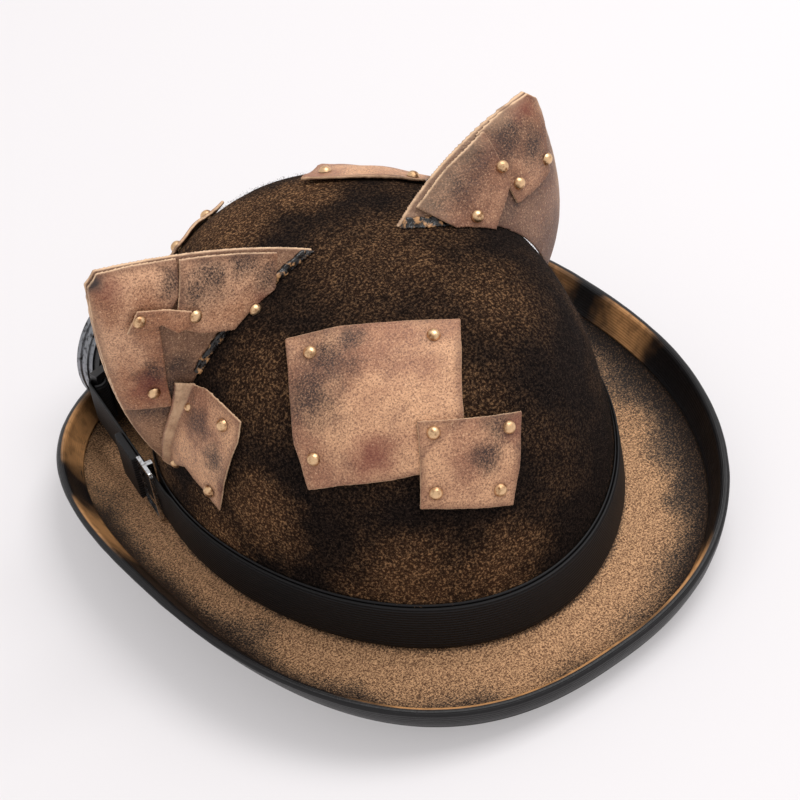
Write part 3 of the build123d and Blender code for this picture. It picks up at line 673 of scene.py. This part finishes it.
def crown():
    """The felt crown with a lumpy, fuzzy face, and a nap of fine fibres standing off it."""
    mesh = even_mesh("crown_felt", 1.4 * MM, 2)
    places = places_of(mesh)
    normals = normals_of(mesh)
    out = crown_out(places)
    facing = np.clip((normals * out).sum(1), 0, 1)
    lump = lumps(places, 22 * MM) * 0.35 * MM + lumps(places, 5 * MM) * 0.12 * MM - 0.3 * MM
    move_to(mesh, places + out * (lump * facing)[:, None])
    finish = crown_felt_finish("crown_felt", "060404", "2a201b", "d9a775")
    new_piece("crown_felt_soft", mesh, finish, "hat", "crown_felt", "crown_felt")
    fibres(mesh, crown_felt_finish("crown_nap", "17110e", "5c4a3f", "f0c493"))


def fibres(mesh, finish):
    """Short curved fibres rooted on the crown's outer face."""
    chooser = np.random.default_rng(FIBRE_SEED)
    places = places_of(mesh)
    normals = normals_of(mesh)
    outside = np.flatnonzero((normals * crown_out(places)).sum(1) > 0.8)
    picked = chooser.choice(outside, FIBRE_COUNT)
    roots = places[picked] + chooser.normal(0, 0.5 * MM, (FIBRE_COUNT, 3))
    out = crown_out(roots)
    lean = np.cross(out, chooser.normal(size=(FIBRE_COUNT, 3)))
    lean /= length_of(lean)
    size = chooser.uniform(0.7, 1.7, (FIBRE_COUNT, 1)) * MM
    middle = roots + lean * size * 0.55 + out * size * 0.32
    tip = roots + lean * size + out * size * 0.25
    side = np.cross(lean, out) * FIBRE_HALF_WIDTH
    corners = np.stack([roots - side, roots + side, middle + side, middle - side, tip], axis=1).reshape(-1, 3)
    faces = []
    for first in range(0, len(corners), 5):
        faces.append((first, first + 1, first + 2, first + 3))
        faces.append((first + 3, first + 2, first + 4))
    fuzz = bpy.data.meshes.new("crown_felt_nap")
    fuzz.from_pydata(corners.tolist(), [], faces)
    new_piece("crown_felt_nap", fuzz, finish, "hat", "crown_felt")


# ---------------------------------------------------------------- leather

def tree_of(places):
    """A search tree over places."""
    tree = kdtree.KDTree(len(places))
    for number, place in enumerate(places):
        tree.insert(place, number)
    tree.balance()
    return tree


def distances(places, tree):
    return np.array([tree.find(place)[2] for place in places])


def leather_sheet(node, slot, finish, voxel, out, lift, curl, shift):
    """Leather in a CAD sheet's shape: it ripples and curls off what it lies on except under its rivets."""
    mesh = even_mesh(node, voxel, 2)
    places = places_of(mesh)
    directions = out(places)
    facing = np.abs((normals_of(mesh) * directions).sum(1))
    to_edge = distances(places, tree_of(places[facing < 0.5]))
    free = 1 - np.exp(-((distances(places, rivet_tree) / (5 * MM)) ** 2))
    wave = np.clip(lumps(places, 15 * MM, shift) + 0.6, 0, 1.5)
    flutter = lumps(places, 6 * MM, shift + 9) * 0.1 * MM
    rise = (wave * (lift + curl * np.exp(-to_edge / (4 * MM))) + flutter) * free
    fray = lumps(places, 2.2 * MM, shift + 4) * 0.15 * MM * (1 - facing)
    move_to(mesh, places + directions * rise[:, None] + normals_of(mesh) * fray[:, None])
    carry(mesh, "cut", np.clip(1.25 - 1.6 * facing, 0, 1))
    carry(mesh, "rim", np.exp(-((to_edge / (2.2 * MM)) ** 2)))
    new_piece(f"{node}_leather", mesh, finish, "hat", slot, node)


def ear_out(places):
    """Unit vectors off an ear's rear face, where its patches are."""
    directions = np.zeros_like(places)
    directions[:, 1] = 1
    return directions


def leather_pieces():
    """All the riveted patches, both ears, and the goggles' bridge."""
    for number, (node, looks) in enumerate(CROWN_PATCHES.items()):
        finish = leather_finish(f"{node}_leather", looks["dark"], looks["red"])
        lift = looks["lift"] * MM
        curl = looks["curl"] * MM
        shift = number * CROWN_PATCH_SHIFT
        leather_sheet(node, "patch_leather", finish, SHEET_VOXEL, crown_out, lift, curl, shift)
    for number, (node, looks) in enumerate(EAR_SHEETS.items()):
        colours = {key: value for key, value in looks.items() if key != "curl"}
        finish = leather_finish(f"{node}_leather", **colours)
        curl = looks["curl"] * MM
        shift = EAR_SHEET_START + number * EAR_SHEET_SHIFT
        leather_sheet(node, "ear_leather", finish, SHEET_VOXEL, ear_out, 0, curl, shift)
    finish = leather_finish("nose_bridge_leather", [((0, -118, 34), 8)], light="8a5f45", mid="5f4030")
    leather_sheet("nose_bridge", "bridge_leather", finish, 0.35 * MM, ear_out, 0, 0, BRIDGE_START)


# ---------------------------------------------------------------- bands

def crown_share(heights):
    """Share of the crown's full radius left at heights above the table."""
    climb = np.linspace(0, 1, 300)
    across, up = bezier([(1, 0), (1, CROWN_FULLNESS), (CROWN_FULLNESS, 1), (0, 1)], climb)
    return np.interp(heights, CROWN_BASE + CROWN_RISE * up, across)


def band_row(turn, low, section):
    """One closed section of a band on the crown: section is (height, distance off the felt) pairs."""
    y = HALF_DEPTH * sin(turn)
    base = CROWN_BASE + BASE_SADDLE - 2 * BASE_SADDLE * (y / HALF_DEPTH) ** 2 + low
    heights = base + section[:, 0]
    reach = crown_share(heights) * (HALF_DEPTH + section[:, 1])
    return np.stack([reach * cos(turn) * HALF_WIDTH / HALF_DEPTH, reach * sin(turn), heights], axis=1)


def band_section(height, near, thick, steps=16):
    """Section of a flat band with rounded edges and a slight thickening along its middle."""
    up = np.linspace(0, 1, steps)
    fill = np.clip(np.minimum(up, 1 - up) * 14, 0, 1) ** 0.5
    outer = np.stack([up * height, near + thick * (0.55 + 0.45 * fill)], axis=1)
    inner = np.stack([up[::-1] * height, near + thick * (0.45 - 0.45 * fill[::-1])], axis=1)
    return np.concatenate([outer, inner])


def bands():
    """The hat's ribbon and the leather sweatband inside."""
    turns = np.linspace(0, tau, 360, endpoint=False)
    section = band_section(RIBBON_HEIGHT, RIBBON_NEAR, RIBBON_THICK)
    rows = [band_row(turn, RIBBON_RISE, section) for turn in turns]
    mesh = ring_mesh("hat_ribbon_cloth", np.stack(rows))
    carry(mesh, "height", np.tile(section[:, 0], len(turns)))
    finish = ribbon_finish("ribbon_grosgrain", "height", 1.5 * MM, 0.08 * MM, 0.6)
    new_piece("hat_ribbon_cloth", mesh, finish, "hat", "hat_ribbon", "hat_ribbon")

    section = band_section(SWEATBAND_HEIGHT, SWEATBAND_NEAR, SWEATBAND_THICK)
    rows = [band_row(turn, SWEATBAND_RISE, section) for turn in turns]
    mesh = ring_mesh("sweatband_leather", np.stack(rows))
    carry(mesh, "cut", np.tile((section[:, 0] > SWEATBAND_HEIGHT - MM).astype(float), len(turns)))
    stains = [((0, 100, 30), 12), ((70, 0, 40), 12)]
    finish = leather_finish("sweatband_leather", stains, light="3c2a20", mid="241a15")
    new_piece("sweatband_leather", mesh, finish, "hat", "sweatband_leather", "sweatband")


def run_rows(points, outs, section):
    """Upright sections at plan points, each with its outward direction."""
    off = section[:, 1] - STRAP_THICK / 2
    heights = STRAP_LOW + section[:, 0]
    rows = []
    for point, out in zip(points, outs):
        rows.append(np.stack([point[0] + out[0] * off, point[1] + out[1] * off, heights], axis=1))
    return rows


def goggle_strap():
    """Elastic from cup to cup round the back of the crown, looped round a bar at each end."""
    section = band_section(STRAP_HEIGHT, STRAP_NEAR, STRAP_THICK)
    middle = STRAP_NEAR + STRAP_THICK / 2
    meet = np.arctan2(RUN_START.y / (HALF_DEPTH + middle), RUN_START.x / (HALF_WIDTH + middle))
    oval = [band_row(turn, STRAP_RISE, section) for turn in np.linspace(meet, pi - meet, 220)]

    along = (RUN_END - RUN_START).normalized()
    out = Vector((-along.y, along.x))
    points = [RUN_START.lerp(RUN_END, step) for step in np.linspace(RUN_FIRST_STEP, 1, 36)]
    outs = [out] * len(points)
    for swing in np.linspace(*LOOP_SWING, 24):
        turned = Matrix.Rotation(-swing, 2) @ out
        points.append(BAR_MIDDLE + turned * LOOP_RADIUS)
        outs.append(turned)
    left = run_rows(points, outs, section - np.array((0, STRAP_NEAR)))
    right = [row * np.array((-1, 1, 1)) for row in left]

    rows = np.stack(left[::-1] + oval + right)
    mesh = ring_mesh("goggle_strap_elastic", rows, closed=False)
    carry(mesh, "height", np.tile(section[:, 0], len(rows)))
    finish = ribbon_finish("elastic", "height", 1.25 * MM, 0.1 * MM, 0.62)
    new_piece("goggle_strap_elastic", mesh, finish, "hat", "strap_elastic", "goggle_strap")


# ---------------------------------------------------------------- glue, fold, pads and the hard parts

def soft_parts():
    """Glue along the ears, the folded end of the elastic, and the eyecups' pads."""
    glue = glue_finish()
    for side in ("left", "right"):
        mesh = even_mesh(f"{side}_ear_glue", 0.35 * MM, 1)
        places = places_of(mesh)
        move_to(mesh, places + normals_of(mesh) * (lumps(places, 2.5 * MM) * 0.5 * MM)[:, None])
        new_piece(f"{side}_ear_glue_beads", mesh, glue, "hat", "hot_glue", f"{side}_ear_glue")
        mesh = even_mesh(f"{side}_eyecup_pad", 0.5 * MM, 6)
        pad = moulded_finish(f"{side}_pad_foam", "151314", 0.7)
        new_piece(f"{side}_eyecup_pad_foam", mesh, pad, "hat", "eyecup_pad", f"{side}_eyecup_pad")
    mesh = even_mesh("left_strap_fold", 0.4 * MM, 3)
    places = places_of(mesh)
    carry(mesh, "height", places[:, 2])
    finish = ribbon_finish("folded_elastic", "height", 1.25 * MM, 0.1 * MM, 0.55)
    new_piece("left_strap_fold_elastic", mesh, finish, "left_slider_body", "strap_elastic", "left_strap_fold")


def hard_parts():
    """Materials of the CAD parts that show as they are."""
    brass = metal_finish("rivet_brass", "e3bd92", "8a6040", 0.36, 0.6 * MM)
    ring = metal_finish("ring_metal", "8d8f93", "3b3a3b", 0.34, 0.3 * MM)
    chrome = metal_finish("slider_chrome", "d5d6d8", "8b8884", 0.14, 0.5 * MM)
    cup = moulded_finish("eyecup_plastic", "0d0c0d", 0.32)
    lens = lens_finish()
    by_ending = (("rivets", brass), ("lens_ring", ring), ("slider", chrome), ("eyecup", cup), ("lens", lens))
    for node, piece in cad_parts.items():
        for ending, material in by_ending:
            if node.endswith(ending):
                piece.data.materials.clear()
                piece.data.materials.append(material)


rivet_meshes = [piece.data for node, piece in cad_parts.items() if node.endswith("rivets")]
rivet_tree = tree_of(np.concatenate([places_of(mesh) for mesh in rivet_meshes]))
look_from(CAMERA_PLACE, CAMERA_AZIMUTH, CAMERA_ELEVATION, CAMERA_ROLL, CAMERA_LENS)
studio()
brim()
binding()
crown()
leather_pieces()
bands()
goggle_strap()
soft_parts()
hard_parts()
